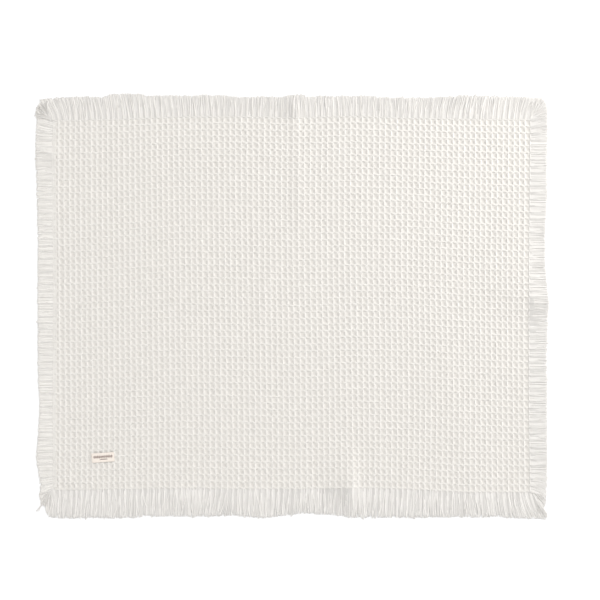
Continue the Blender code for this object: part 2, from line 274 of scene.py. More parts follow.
# FAN_PLACES are how far from a side's end its fans are given. Within FAN_REACH of the end, its lean fades to
# LEAN_AT_END of itself. The tips' line is read TIPS_AHEAD further along the lean, and of a lean up to
# LONGEST_LEAN, LEAN_IN_LENGTH makes a strand longer.
FAN_PLACES = (0.0, 8.0, 25.0, 42.0, 58.0, 75.0, 92.0)
FAN_REACH, LEAN_AT_END = 92.0, 0.15
TIPS_AHEAD = 35.0
LONGEST_LEAN, LEAN_IN_LENGTH = 35.0, 0.8

# Over how many cells lean and length drift along a side. Lengths are shares of the way to the tips' line.
LEAN_CELLS, LENGTH_CELLS = 2.2, 1.3
LENGTH_MEAN, LENGTH_DRIFT, LENGTH_SPREAD = 1.01, 0.012, 0.022
STRAY_SHARE = 0.1
STRAY_LENGTHS = (0.86, 1.07)

# Stations of a strand as shares of its length. Rings close to both ends keep the shading even there. A form
# is the radius at the tip as a share of the root's, and the strand's height as a share of its width.
YARN_SQUASH = 0.9
MAT_FORM = (0.95, 0.75)
RIDGE_FORM = (0.82, YARN_SQUASH)
MAT_PLACES = np.array((0.0, 0.015, 0.05, 0.24, 0.5, 0.88, 0.965, 1.0))
RIDGE_PLACES = np.array((0.0, 0.02, 0.06, 0.24, 0.46, 0.7, 0.9, 0.965, 1.0))
MAT_WAVE, MAT_CURL, MAT_LEAN = 0.25, 0.4, 0.7
RIDGE_RADIUS = 1.15
RIDGE_YARNS = (-0.075, 0.075)
THICKNESS_SPREAD = 0.08

# The way of a strand: how much of its bend it has at its root and gains on the way, how many waves it swings
# and at which share of its length it has sunk to its rest. LEVEL and FALLEN say, at some shares, how far it
# comes down to LOWEST_AXIS on the floor and how much of the fold under it is gone. RESTS are how far over
# LOWEST_AXIS the mat's yarns and the ridges' yarns rest.
BENDING = (0.25, 0.95)
WAVES = (0.55, 1.3)
SUNK_AT = 0.9
LEVEL = ((0.0, 0.6, 1.0), (0.0, 0.0, 0.8))
FALLEN = ((0.0, 0.24, 0.5, 0.8, 1.0), (0.0, 0.03, 0.5, 0.9, 1.0))
LOWEST_AXIS = 1.4
RESTS = ((0.0, 0.35), (0.7, 1.1))

# A corner's strands: "turns" are angles in degrees from straight out sideways to straight up or down, "reach"
# how far the outline is there, "mat" and "loose" how many strands lie flat and on top, "tangle" how many
# degrees the loose ones stray, and "strays" the turn, length and bend of single loose strands. All start
# CORNER_BACK inside the corner. The pairs are for the mat and the loose ones: the height they start at, and
# the spreads of how much shorter they are, of their roots and of their bend beyond the tangle.
CORNER_BACK = 3.0
CORNER_STARTS = (1.6, 2.6)
CORNER_SHORTER, CORNER_ROOTS, CORNER_BEND = (0.015, 0.05), (0.6, 2.2), (0.0, 3.0)
CORNER_MAT_TANGLE = 0.8
CORNERS = {
    "top_left": {
        "at": (-721, 561), "turns": (5, 37, 67, 84), "reach": (42, 50, 60, 58),
        "mat": 40, "loose": 30, "tangle": 12.0,
    },
    "top_right": {
        "at": (716, 559), "turns": (3, 30, 48, 60, 70, 85), "reach": (46, 55, 67, 73, 67, 62),
        "mat": 46, "loose": 10, "tangle": 4.0,
    },
    "bottom_right": {
        "at": (721, -555),
        "turns": (3, 31, 48, 56, 58, 60, 66, 85), "reach": (39, 44, 55, 56, 80, 87, 82, 76),
        "mat": 58, "loose": 16, "tangle": 5.0, "strays": ((58, 86, 1), (60, 88, 0), (62, 84, -1)),
    },
    "bottom_left": {
        "at": (-721, -551),
        "turns": (0, 19, 47, 57, 66, 76, 80, 86), "reach": (27, 34, 41, 50, 48, 51, 69, 74),
        "mat": 40, "loose": 14, "tangle": 5.0, "strays": ((78, 72, -34), (79, 71, -36), (76, 70, -33)),
    },
}

# -------- colours
# The three yarns are the same cotton in three tones. The weft is painted a little darker than the warp, as
# painted shade on the ridges along X, which get less light than those along Y. The loose yarns' pair is
# darker still, as painted shade for the fringe. The second colour of each pair is both random slubs and
# painted shade in the grooves of the twist.
WARP_CROWN, WARP_SHADE = "F6F3EF", "E9E5DF"
WEFT_CROWN, WEFT_SHADE = "F0EDE8", "E0DCD6"
SHADED_YARN_CROWN, SHADED_YARN_SHADE = "E5E2DE", "D3D0CB"
# The ground's pit and gap colours are painted shade, for the middle of each cell and the spaces between its
# yarns.
GROUND_TOP, GROUND_PIT_SHADE, GROUND_GAP_SHADE = "ECE9E4", "DAD6D0", "BEBAB3"
# The tape's shade colour is painted shade between its threads.
TAPE_CREAM, TAPE_SHADE, TAPE_BROWN = "F2E9E0", "E3D9CF", "725C56"
# The thread's shade colour is painted shade in the grooves of its twist.
THREAD_CREAM, THREAD_SHADE = "F1E9DE", "D9CFC2"
PAPER_WHITE = "FCFCFC"

# How long one turn of a yarn's twist is, in millimetres.
WARP_TWIST, WEFT_TWIST, LOOSE_TWIST, THREAD_TWIST = 3.2, 3.8, 3.6, 0.625

# -------- light and camera
# The camera looks straight down on PHOTO_CENTRE and sees PHOTO_WIDTH of the floor.
PHOTO_CENTRE = (28.0, 18.8)
PHOTO_WIDTH = 1791.0
LENS = 85.0
SENSOR_WIDTH = 36.0
FLOOR_HALF = 6.0
FLOOR_HEIGHT = -0.0005
SKY_STRENGTH = 1.035
SOFTBOX_SIZE = 1.2
SOFTBOX_WATTS = 24.0
SOFTBOX_AT = (2.1, 1.5, 1.1)
WINDOW_FROM = (0.8, 0.6, 0.5)
WINDOW_ANGLE = np.radians(30.0)
WINDOW_STRENGTH = 0.75


# -------- shapes as functions
def line_at(table, along):
    """How far out a line lies, straight between the places of its table."""
    return np.interp(along, *table)


def fold_height(x, y):
    """Height of the cloth's underside: for each fold, its crest height along its line times a rounded peak
    that falls with the distance from the line, all folds added."""
    height = np.zeros(np.broadcast(x, y).shape)
    for row in FOLDS:
        fold = dict(zip(FOLD_COLUMNS, row))
        run = np.array((fold["x1"] - fold["x0"], fold["y1"] - fold["y0"]), float)
        length = np.hypot(*run)
        dx, dy = x - fold["x0"], y - fold["y0"]
        share = (dx * run[0] + dy * run[1]) / length**2
        crest = np.interp(share, (0.0, 0.5, 1.0), (fold["start"], fold["middle"], fold["end"]))
        across = (run[0] * dy - run[1] * dx) / length
        away = np.abs(across) / np.where(across > 0.0, fold["left"], fold["right"])
        rounded = np.hypot(away, CREST_ROUNDING) - CREST_ROUNDING * (1.0 - away)
        peak = np.maximum(1.0 - rounded, 0.0) ** CREST_POWER
        height += np.where(share < 1.0, crest, 0.0) * peak
    return height


def ahead_at(table, x, y):
    """A table of hundredths of a cell, bilinear between its places."""
    values = np.array(table, float) / 100.0
    i = np.interp(x, AHEAD_X, range(len(AHEAD_X)))
    j = np.interp(-y, [-place for place in AHEAD_Y], range(len(AHEAD_Y)))
    i0 = np.minimum(i.astype(int), len(AHEAD_X) - 2)
    j0 = np.minimum(j.astype(int), len(AHEAD_Y) - 2)
    u, v = i - i0, j - j0
    upper = values[j0, i0] * (1.0 - u) + values[j0, i0 + 1] * u
    lower = values[j0 + 1, i0] * (1.0 - u) + values[j0 + 1, i0 + 1] * u
    return upper * (1.0 - v) + lower * v


def ripple(c, r, phase):
    """Three crossing sine waves a few cells long, from -1 to 1: the hand-laid unevenness of the cells."""
    waves = np.sin(1.93 * c + 0.71 * r + phase) + np.sin(2.9 * r - 0.83 * c + 2.1 * phase)
    return (waves + np.sin(3.1 * c + 1.37 * r - 1.7 * phase)) / 3.0


def weave_point(c, r):
    """Where column c and row r of the lattice lie. The straight lattice is moved by the tables until the
    place and the tables agree, then by the ripple."""
    c, r = np.broadcast_arrays(np.asarray(c, float), np.asarray(r, float))
    x = (c - COLUMN_AT_MIDDLE) * COLUMN_PITCH
    y = (ROW_AT_MIDDLE - r) * ROW_PITCH
    for _ in range(LATTICE_ROUNDS):
        ahead_x, ahead_y = ahead_at(COLUMNS_AHEAD, x, y), ahead_at(ROWS_AHEAD, x, y)
        x = (c - COLUMN_AT_MIDDLE - ahead_x) * COLUMN_PITCH
        y = (ROW_AT_MIDDLE - r + ahead_y) * ROW_PITCH
    return x + UNEVEN * ripple(c, r, 0.4), y + UNEVEN * ripple(c, r, 2.6)


def swing(t):
    """1 on a ridge line, falling straight to -1 a third of a cell away, and -1 from there to the middle."""
    return np.maximum(1.0 - 6.0 * np.abs(t - np.round(t)), -1.0)


def ground_height(c, r):
    """Middle layer of the ground: both directions' swings added, flat in the plain band on the left, and flat
    and lower where it runs on under the fringe."""
    beyond = np.maximum(
        np.interp(c - LAST_COLUMN, BEYOND, (0.0, 1.0)), np.interp(r - LAST_ROW, BEYOND, (0.0, 1.0))
    )
    woven = np.interp(c, BAND_FADE, (0.0, 1.0)) * (1.0 - beyond)
    fall = BORDER_FALL * np.maximum(beyond, np.interp(c, BAND_DIP, (1.0, 0.0)))
    return MID_HEIGHT + RELIEF / 2.0 * (swing(c) + swing(r)) * woven - fall


def inside(x, y, inset):
    """True where a place lies at least the inset inside the four edges."""
    across = (x > line_at(LEFT_EDGE, y) + inset) & (x < line_at(RIGHT_EDGE, y) - inset)
    return across & (y > line_at(BOTTOM_EDGE, x) + inset) & (y < line_at(TOP_EDGE, x) - inset)


# -------- meshes
def new_object(name, data):
    """Adds an object with this data."""
    made = bpy.data.objects.new(name, data)
    bpy.context.collection.objects.link(made)
    return made


def new_piece(name, points, faces, uv, material):
    """One smooth object from points in millimetres and a list of face arrays, with one UV pair for every
    corner in the same order."""
    mesh = bpy.data.meshes.new(name)
    corners = np.concatenate([part.ravel() for part in faces]).astype(np.int32)
    sizes = np.concatenate([np.full(len(part), part.shape[1]) for part in faces])
    starts = np.concatenate(([0], np.cumsum(sizes)[:-1])).astype(np.int32)
    placed = (points + BOX_SHIFT) * MM
    mesh.vertices.add(len(placed))
    mesh.vertices.foreach_set("co", placed.astype(np.float32).ravel())
    mesh.loops.add(len(corners))
    mesh.loops.foreach_set("vertex_index", corners)
    mesh.polygons.add(len(sizes))
    mesh.polygons.foreach_set("loop_start", starts)
    mesh.polygons.foreach_set("use_smooth", np.ones(len(sizes), bool))
    mesh.update(calc_edges=True)
    layer = mesh.uv_layers.new(name="thread")
    flat = np.concatenate([part.reshape(-1, 2) for part in uv])
    layer.data.foreach_set("uv", flat.astype(np.float32).ravel())
    mesh.validate()
    mesh.materials.append(material)
    return new_object(name, mesh)


def join(parts):
    """Several (points, faces, uv) sets as one."""
    points, faces, uv, first = [], [], [], 0
    for some_points, some_faces, some_uv in parts:
        points.append(some_points)
        faces += [part + first for part in some_faces]
        uv += some_uv
        first += len(some_points)
    return np.concatenate(points), faces, uv


def corner_uv(shape, corners):
    """UV pairs for an array of faces of this shape, from u and v at each corner."""
    flat = np.zeros(shape)
    return np.stack([np.stack((u + flat, v + flat), axis=-1) for u, v in corners], axis=-2)


def yarns(path, radius, sides=3, keel=-1.0, squash=YARN_SQUASH):
    """Yarns along paths of shape (yarn, station, xyz). The first and last station are the pointed ends, and
    every station between carries a ring: radius times (cos a across the yarn + squash sin a upwards). One
    corner of the ring is its keel, downwards or upwards, so that its broad side is the one that is seen. U
    is the distance along in millimetres, V the turn round."""
    count, stations, _ = path.shape
    rings = stations - 2
    tangent = np.gradient(path, axis=1)
    tangent /= np.linalg.norm(tangent, axis=2, keepdims=True)
    across = np.cross(tangent, (0.0, 0.0, 1.0))
    across /= np.linalg.norm(across, axis=2, keepdims=True)
    upward = np.cross(across, tangent)
    angle = keel * np.pi / 2.0 + np.arange(sides) * 2.0 * np.pi / sides
    size = np.broadcast_to(radius, (count, stations))[:, 1:-1, None, None]
    ring = across[:, 1:-1, None] * np.cos(angle)[:, None]
    ring = ring + upward[:, 1:-1, None] * squash * np.sin(angle)[:, None]
    ring = path[:, 1:-1, None] + ring * size
    points = np.concatenate((path[:, :1], ring.reshape(count, -1, 3), path[:, -1:]), axis=1)
    per_yarn = rings * sides + 2
    first = (np.arange(count) * per_yarn)[:, None, None]
    i, after = np.arange(sides), (np.arange(sides) + 1) % sides
    j = (np.arange(rings - 1) * sides + 1)[:, None]
    quads = np.stack((j + i, j + sides + i, j + sides + after, j + after), axis=-1).reshape(-1, 4)
    start = np.stack((np.zeros_like(i), 1 + i, 1 + after), axis=-1)
    last = 1 + (rings - 1) * sides
    end = np.stack((np.full_like(i, per_yarn - 1), last + after, last + i), axis=-1)
    steps = np.linalg.norm(np.diff(path, axis=1), axis=2)
    along = np.concatenate((np.zeros((count, 1)), np.cumsum(steps, axis=1)), axis=1)
    turn, turn_after = i / sides, (i + 1) / sides
    a, b = along[:, 1:-2, None], along[:, 2:-1, None]
    corners = ((a, turn), (b, turn), (b, turn_after), (a, turn_after))
    uv = [corner_uv((count, rings - 1, sides), corners)]
    for pole, ring_at, one, two in ((0, 1, turn, turn_after), (-1, -2, turn_after, turn)):
        tip, side = along[:, pole, None], along[:, ring_at, None]
        corners = ((tip, (turn + turn_after) / 2.0), (side, one), (side, two))
        uv.append(corner_uv((count, sides), corners))
    faces = [(first + part).reshape(-1, part.shape[1]) for part in (quads, start, end) if len(part)]
    return points.reshape(-1, 3), faces, [part for part in uv if part.size]


def grid_quads(shape):
    """The quads between the points of a grid of this shape."""
    index = np.arange(shape[0] * shape[1]).reshape(shape)
    corners = (index[:-1, :-1], index[:-1, 1:], index[1:, 1:], index[1:, :-1])
    return np.stack(corners, axis=-1).reshape(-1, 4)


def closed_sheet(upper, lower, quads, upper_uv, lower_uv):
    """Two layers of the same quads, the lower one turned over, joined by a rim along the edges that only
    one quad uses."""
    count = len(upper)
    edges = np.concatenate([quads[:, (k, (k + 1) % 4)] for k in range(4)])
    key = edges[:, 0] * count + edges[:, 1]
    rim = edges[~np.isin(key, edges[:, 1] * count + edges[:, 0])]
    a, b = rim[:, 0], rim[:, 1]
    sides = np.stack((a + count, b + count, b, a), axis=1)
    faces = [quads, quads[:, ::-1] + count, sides]
    uv = [upper_uv[quads], lower_uv[quads[:, ::-1]], upper_uv[np.stack((a, b, b, a), axis=1)]]
    return np.concatenate((upper, lower)), faces, uv


# -------- the cloth
def ground_sheet(material):
    """The ground on a grid of thirds of a cell. It ends at the edges, or just past the first ridge where
    that lies further out. Points beyond are brought back, and quads without any point inside are left out."""
    c = np.arange(*GRID_COLUMNS) / GRID_PER_CELL
    r = np.arange(*GRID_ROWS) / GRID_PER_CELL
    c, r = np.meshgrid(c, r, indexing="ij")
    x, y = weave_point(c, r)
    clipped_x = np.clip(x, line_at(LEFT_EDGE, y), line_at(RIGHT_EDGE, y))
    bottom = line_at(BOTTOM_EDGE, clipped_x)
    top = np.maximum(line_at(TOP_EDGE, clipped_x), weave_point(c, FIRST_ROW - TOP_OVERLAP)[1])
    clipped_y = np.clip(y, bottom, top)
    within = (x > line_at(LEFT_EDGE, y) + EDGE_INSET) & (x < line_at(RIGHT_EDGE, y) - EDGE_INSET)
    within &= (y > bottom + EDGE_INSET) & (y < top - EDGE_INSET)
    x, y = np.where(within, x, clipped_x), np.where(within, y, clipped_y)
    quads = grid_quads(c.shape)
    quads = quads[within.ravel()[quads].any(axis=1)]
    used, quads = np.unique(quads, return_inverse=True)
    quads = quads.reshape(-1, 4)
    x, y, c, r = (values.ravel()[used] for values in (x, y, c, r))
    base = fold_height(x, y) + ground_height(c, r)
    upper = np.stack((x, y, base + GROUND_THICK / 2.0), axis=1)
    lower = np.stack((x, y, base - GROUND_THICK / 2.0), axis=1)
    lattice = np.stack((c, r), axis=1)
    return new_piece("ground_cloth", *closed_sheet(upper, lower, quads, lattice, lattice + 0.5), material)


def kept_floats(middle_c, middle_r, aside, along_y, back):
    """Which floats of a set there are, as True and False. On the face, the outer slopes of the last ridges at
    the top, at the bottom and on the right have none, because the fringe begins there."""
    if back:
        return inside(*weave_point(middle_c, middle_r), BACK_INSET)
    kept = (middle_c >= FIRST_FLOAT) & (middle_c <= LAST_COLUMN)
    kept &= (middle_r >= FIRST_ROW) & (middle_r <= LAST_ROW)
    if along_y:
        return kept & ((middle_c < LAST_COLUMN) | (aside <= 0.0))
    return kept & ((middle_r > FIRST_ROW) | (aside >= 0.0)) & ((middle_r < LAST_ROW) | (aside <= 0.0))


def float_set(table, along_y, back, rng):
    """One yarn for every float of the table, on every ridge. It rises from the ground at its ends to its axis
    height in the middle, as 1 - t**FLOAT_POWER with t from -1 to 1 along it."""
    parts = []
    shift = 0.5 if back else 0.0
    if along_y:
        columns = np.arange(FIRST_COLUMN, LAST_COLUMN + 1) + shift
        rows = np.arange(FIRST_ROW - 1, LAST_ROW + 1) + 0.5 + shift
    else:
        columns = np.arange(FIRST_COLUMN - 1, LAST_COLUMN + 1) + 0.5 + shift
        rows = np.arange(FIRST_ROW - 1, LAST_ROW + 2) + shift
    middle_c, middle_r = (values.ravel() for values in np.meshgrid(columns, rows, indexing="ij"))
    for row in table:
        yarn = dict(zip(YARN_COLUMNS, row))
        t = np.array((-1.0, *RING_PLACES[yarn["rings"]], 1.0))
        count = len(middle_c)
        slip = rng.normal(0.0, FLOAT_SHIFT, (count, 1))
        stretch = yarn["half"] * (1.0 + rng.normal(0.0, FLOAT_STRETCH, (count, 1)))
        side = yarn["aside"] + rng.normal(0.0, FLOAT_ASIDE, (count, 1))
        side = side + rng.normal(0.0, FLOAT_SKEW, (count, 1)) * t
        if along_y:
            c, r = middle_c[:, None] + side, middle_r[:, None] + slip + stretch * t
        else:
            c, r = middle_c[:, None] + slip + stretch * t, middle_r[:, None] + side
        x, y = weave_point(c, r)
        kept = kept_floats(middle_c, middle_r, yarn["aside"], along_y, back)
        ground = ground_height(c, r)
        axis = yarn["axis"] + rng.normal(0.0, FLOAT_LIFT, (count, 1))
        if back:
            axis = CLOTH_THICK - axis
        height = ground + (axis - ground) * (1.0 - np.abs(t) ** FLOAT_POWER)
        path = np.stack((x, y, fold_height(x, y) + height), axis=2)[kept]
        sizes = np.array((0.0, *RING_SIZES[yarn["rings"]], 0.0)) * yarn["radius"]
        radius = sizes * (1.0 + rng.normal(0.0, FLOAT_SWELL, (count, 1)))
        parts.append(yarns(path, radius[kept], keel=1.0 if back else -1.0))
    return join(parts)


def band_yarns(rng):
    """The upright warp yarns of the plain band on the left: one long yarn beside another, each a little
    wavy, with a station at every half cell."""
    rows = np.arange(*BAND_ROWS)
    place = (np.arange(BAND_YARNS)[:, None] + 0.5) / BAND_YARNS
    y = weave_point(BAND_COLUMN, rows)[1]
    edge = line_at(LEFT_EDGE, y)
    x = edge + BAND_START + place * BAND_WIDTH + rng.normal(0.0, BAND_SWAY, (BAND_YARNS, len(rows)))
    y = np.clip(y, line_at(BOTTOM_EDGE, edge), line_at(TOP_EDGE, edge)) + np.zeros_like(x)
    axis = np.interp(place, (0.0, 0.6), BAND_AXES) + rng.normal(0.0, BAND_LIFT, x.shape)
    height = fold_height(x, y) + axis
    return yarns(np.stack((x, y, height), axis=2), np.full(len(rows), BAND_RADIUS))


# -------- the fringe
def strand_paths(places, root, heading, bend, length, curl, start, rest, rng):
    """Paths of loose yarns with a station at each of the places, which are shares of the length. A strand
    leaves its root at its heading, turns by its bend on the way, and swings sideways as a sine that grows
    with the distance. It sinks evenly from its height "start" on the cloth to "rest" on the floor, and the
    fold under it fades out towards the tip."""
    middle = (places[1:] + places[:-1]) / 2.0
    theta = heading[:, None] + bend[:, None] * (BENDING[0] + BENDING[1] * middle)
    step = length[:, None] * np.diff(places)
    nothing = np.zeros((len(root), 1))
    out = np.concatenate((nothing, np.cumsum(step * np.cos(theta), axis=1)), axis=1)
    over = np.concatenate((nothing, np.cumsum(step * np.sin(theta), axis=1)), axis=1)
    waves = rng.uniform(*WAVES, (len(root), 1))
    phase = rng.uniform(0.0, TURN, (len(root), 1))
    sideways = curl[:, None] * places * (np.sin(TURN * waves * places + phase) - np.sin(phase))
    x = root[:, 0:1] + out - sideways * np.sin(heading)[:, None]
    y = root[:, 1:2] + over + sideways * np.cos(heading)[:, None]
    own = start[:, None] + (rest[:, None] - start[:, None]) * np.minimum(places / SUNK_AT, 1.0)
    own = own + (LOWEST_AXIS - own) * np.interp(places, *LEVEL)
    fold = fold_height(x, y) * (1.0 - np.interp(places, *FALLEN))
    return np.stack((x, y, fold + own), axis=2)


def drift(rng, count, period, size):
    """Random numbers that change slowly along a side: one for every "period" strands, straight between."""
    knots = rng.normal(0.0, size, count // period + 3)
    return np.interp(np.arange(count) / period + rng.random(), np.arange(len(knots)), knots)


def side_strands(side, places, cell, ridge, rng):
    """Strands of one side, rooted at these cells along it. The mat's strands lie side by side with one slow
    drift in lean and length. The ridge yarns lie on them, and each leans and swings as it likes."""
    facts = SIDES[side]
    upright = side in UPRIGHT_SIDES
    count = len(cell)
    line = facts["ridge_end"] if ridge else facts["mat_start"]
    x, y = weave_point(line, cell) if upright else weave_point(cell, line)
    along, out = (y, x) if upright else (x, y)
    edge = line_at(facts["line"], along)
    per_cell = count / (cell[-1] - cell[0])
    lean = np.interp(along, *facts["lean"])
    lean = lean + drift(rng, count, int(LEAN_CELLS * per_cell), facts["sway"])
    lean = lean + rng.normal(0.0, facts["own_lean"] if ridge else MAT_LEAN, count)
    from_start, from_end = np.abs(along - along[0]), np.abs(along[-1] - along)
    for distance, turns, way in ((from_start, facts["fans"][0], -1.0), (from_end, facts["fans"][1], 1.0)):
        lean = lean * np.clip(distance / FAN_REACH, LEAN_AT_END, 1.0)
        lean = lean + way * np.interp(distance, FAN_PLACES, (*turns[:1], *turns, 0.0))
    ahead = np.tan(np.radians(lean)) * TIPS_AHEAD * (-1.0 if upright else 1.0)
    reach = np.abs(line_at(facts["tips"], along + ahead) - edge)
    inset = (edge - out) * (1.0 if side in ("top", "right") else -1.0)
    slant = np.radians(np.clip(lean, -LONGEST_LEAN, LONGEST_LEAN)) * LEAN_IN_LENGTH
    length = inset + reach / np.cos(slant)
    uneven = drift(rng, count, int(LENGTH_CELLS * per_cell), LENGTH_DRIFT)
    length = length * (LENGTH_MEAN + (uneven + rng.normal(0.0, LENGTH_SPREAD, count)))
    stray = rng.random(count) < STRAY_SHARE
    length = np.where(stray, length * rng.uniform(*STRAY_LENGTHS, count), length)
    curl = rng.normal(0.0, facts["curl"] if ridge else MAT_CURL, count)
    ground = ground_height(line, cell) if upright else ground_height(cell, line)
    if ridge:
        start = np.full(count, facts["root"] + facts["lift"])
    else:
        start = facts["root"] + MAT_WAVE * (ground - MID_HEIGHT)
    rest = LOWEST_AXIS + rng.uniform(*RESTS[ridge], count)
    root = np.stack((x, y), axis=1)
    heading = np.full(count, np.radians(facts["base"]))
    bend = facts["turn"] * np.radians(lean)
    return strand_paths(places, root, heading, bend, length, curl, start, rest, rng)


def corner_fan(corner, places, ridge, rng):
    """The strands that fill a corner: their headings run from one side's to the other's, and each is as
    long as the corner's outline is far that way. Under the loose ones lies a mat at even angles."""
    facts = CORNERS[corner]
    count, tangle = (facts["loose"], facts["tangle"]) if ridge else (facts["mat"], CORNER_MAT_TANGLE)
    across, up = (-1.0 if "left" in corner else 1.0), (1.0 if "top" in corner else -1.0)
    turns = np.linspace(facts["turns"][0], facts["turns"][-1], count) + rng.normal(0.0, tangle, count)
    reach = np.interp(turns, facts["turns"], facts["reach"])
    length = reach * (1.0 - np.abs(rng.normal(0.0, CORNER_SHORTER[ridge], count)))
    radians = np.radians(turns)
    heading = np.arctan2(up * np.sin(radians), across * np.cos(radians))
    spot = np.array(facts["at"], float)
    root = spot - CORNER_BACK * np.stack((np.cos(heading), np.sin(heading)), axis=1)
    root = root + rng.normal(0.0, CORNER_ROOTS[ridge], (count, 2))
    bend = rng.normal(0.0, np.radians(CORNER_BEND[ridge] + tangle), count)
    for k, (turn, own_length, own_bend) in enumerate(facts.get("strays", ()) if ridge else ()):
        heading[k] = np.arctan2(up * np.sin(np.radians(turn)), across * np.cos(np.radians(turn)))
        length[k], bend[k] = own_length, np.radians(own_bend) * across * up
    curl = rng.normal(0.0, 1.0 + 0.3 * tangle if ridge else MAT_CURL, count)
    lowest, highest = (1.0, 1.6 + 0.25 * tangle) if ridge else (0.0, 0.4)
    rest = LOWEST_AXIS + rng.uniform(lowest, highest, count)
    start = np.full(count, CORNER_STARTS[ridge])
    return strand_paths(places, root, heading, bend, length + CORNER_BACK, curl, start, rest, rng)


def fringe_pieces(side, corners, mat_yarn, ridge_yarn, rng):
    """One side's mat and its ridge yarns as two pieces, each with its part of the corners' fans."""
    first, last = SIDES[side]["first"], SIDES[side]["last"]
    ridges = np.arange(np.ceil(first), np.floor(last) + 1.0)
    ridge_cells = (ridges[:, None] + np.array(RIDGE_YARNS)).ravel()
    ridge_cells = ridge_cells + rng.normal(0.0, 0.015, len(ridge_cells))
    mat_cells = np.arange(first, last, 1.0 / THREADS_PER_CELL)
    thread = (ROW_PITCH if side in UPRIGHT_SIDES else COLUMN_PITCH) / THREADS_PER_CELL
    mat_radius = SIDES[side]["mat_width"] * thread
    pieces = []
    for name, ridge, places, cells, radius, (tip, squash), material in (
        ("loose_yarns_", False, MAT_PLACES, mat_cells, mat_radius, MAT_FORM, mat_yarn),
        ("loose_ridge_yarns_", True, RIDGE_PLACES, ridge_cells, RIDGE_RADIUS, RIDGE_FORM, ridge_yarn),
    ):
        paths = [side_strands(side, places, cells, ridge, rng)]
        paths += [corner_fan(corner, places, ridge, rng) for corner in corners]
        path = np.concatenate(paths)
        taper = np.interp(places, (0.0, 0.7, 1.0), (1.0, 0.5 + tip / 2.0, tip))
        sizes = radius * taper * (1.0 + rng.normal(0.0, THICKNESS_SPREAD, (len(path), 1)))
        piece = new_piece(name + side, *yarns(path, sizes, squash=squash), material)
        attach(piece, "root")
        pieces.append(piece)
    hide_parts("fringe_" + side)
    return pieces


# -------- the label
def label_place(x, y):
    """A place on the label turned and moved to where the label lies."""
    cos, sin = np.cos(LABEL_TURN), np.sin(LABEL_TURN)
    return LABEL_CENTRE[0] + x * cos - y * sin, LABEL_CENTRE[1] + x * sin + y * cos


def label_rise(x, y):
    """Underside of the label: it lies on the ridges, gives a little over the cells as a product of two sines,
    and is drawn down by its stitches at both ends as a bell curve."""
    sag = np.sin(x / COLUMN_PITCH * TURN + 0.8) * np.sin(y / ROW_PITCH * TURN + 0.3)
    drawn = np.exp(-((LABEL_LENGTH / 2.0 - np.abs(x)) / LABEL_END_REACH) ** 2)
    return CLOTH_THICK + LABEL_OVER_CLOTH + LABEL_SAG * sag - LABEL_END_DROP * drawn


def label_sheet(material):
    """The label as a closed sheet: a grid whose corner squares are bent to quarter circles."""
    u, v = np.meshgrid(*(np.linspace(-1.0, 1.0, count) for count in LABEL_GRID), indexing="ij")
    x, y = u * LABEL_LENGTH / 2.0, v * LABEL_WIDTH / 2.0
    ax = (np.abs(x) - LABEL_LENGTH / 2.0 + LABEL_CORNER).clip(0.0) / LABEL_CORNER
    ay = (np.abs(y) - LABEL_WIDTH / 2.0 + LABEL_CORNER).clip(0.0) / LABEL_CORNER
    x = x + np.sign(x) * LABEL_CORNER * ax * (np.sqrt(1.0 - ay**2 / 2.0) - 1.0)
    y = y + np.sign(y) * LABEL_CORNER * ay * (np.sqrt(1.0 - ax**2 / 2.0) - 1.0)
    quads = grid_quads(u.shape)[:, (0, 3, 2, 1)]
    x, y = x.ravel(), y.ravel()
    px, py = label_place(x, y)
    base = label_rise(x, y)
    edge = np.minimum(LABEL_LENGTH / 2.0 - np.abs(x), LABEL_WIDTH / 2.0 - np.abs(y)).clip(0.0)
    thick = LABEL_THICK * np.interp(edge, (0.0, LABEL_SELVEDGE), (LABEL_SELVEDGE_SHARE, 1.0))
    upper = np.stack((px, py, base + thick), axis=1)
    lower = np.stack((px, py, base), axis=1)
    flat = np.stack((x, y), axis=1)
    return new_piece("label_tape", *closed_sheet(upper, lower, quads, flat, flat), material)


def label_stitches(material, rng):
    """Running stitches along both short ends: short yarns that come up out of the label and go down again."""
    places = np.linspace(-1.0, 1.0, STITCHES_PER_END) * (LABEL_WIDTH / 2.0 - STITCH_INSET[1])
    ends = np.array((-1.0, 1.0)) * (LABEL_LENGTH / 2.0 - STITCH_INSET[0])
    x, y = (values.ravel()[:, None] for values in np.meshgrid(ends, places, indexing="ij"))
    t = np.array((-1.0, -0.7, -0.25, 0.25, 0.7, 1.0))
    x = x + rng.normal(0.0, 0.12, x.shape) + 0.1 * t
    y = y + STITCH_HALF * t
    px, py = label_place(x, y)
    arch = STITCH_ARCH * (1.0 - t**2) - STITCH_SINK
    height = label_rise(x, y) + LABEL_THICK + arch
    stitches = yarns(np.stack((px, py, height), axis=2), np.full(len(t), STITCH_RADIUS), sides=5)
    return new_piece("label_stitches", *stitches, material)


# -------- materials
def node(tree, kind, inputs=None, **settings):
    """Adds one node with its settings, and its inputs as values or as links from other nodes' sockets."""
    made = tree.nodes.new(kind)
    for name, value in settings.items():
        setattr(made, name, value)
    for name, value in (inputs or {}).items():
        if isinstance(value, bpy.types.NodeSocket):
            tree.links.new(value, made.inputs[name])
        else:
            made.inputs[name].default_value = value
    return made


def maths(tree, operation, *values, clamp=False):
    """One Math node on one to three values."""
    made = node(tree, "ShaderNodeMath", dict(enumerate(values)), operation=operation, use_clamp=clamp)
    return made.outputs[0]


def own_map(tree):
    """The piece's own UV map."""
    return node(tree, "ShaderNodeTexCoord").outputs["UV"]


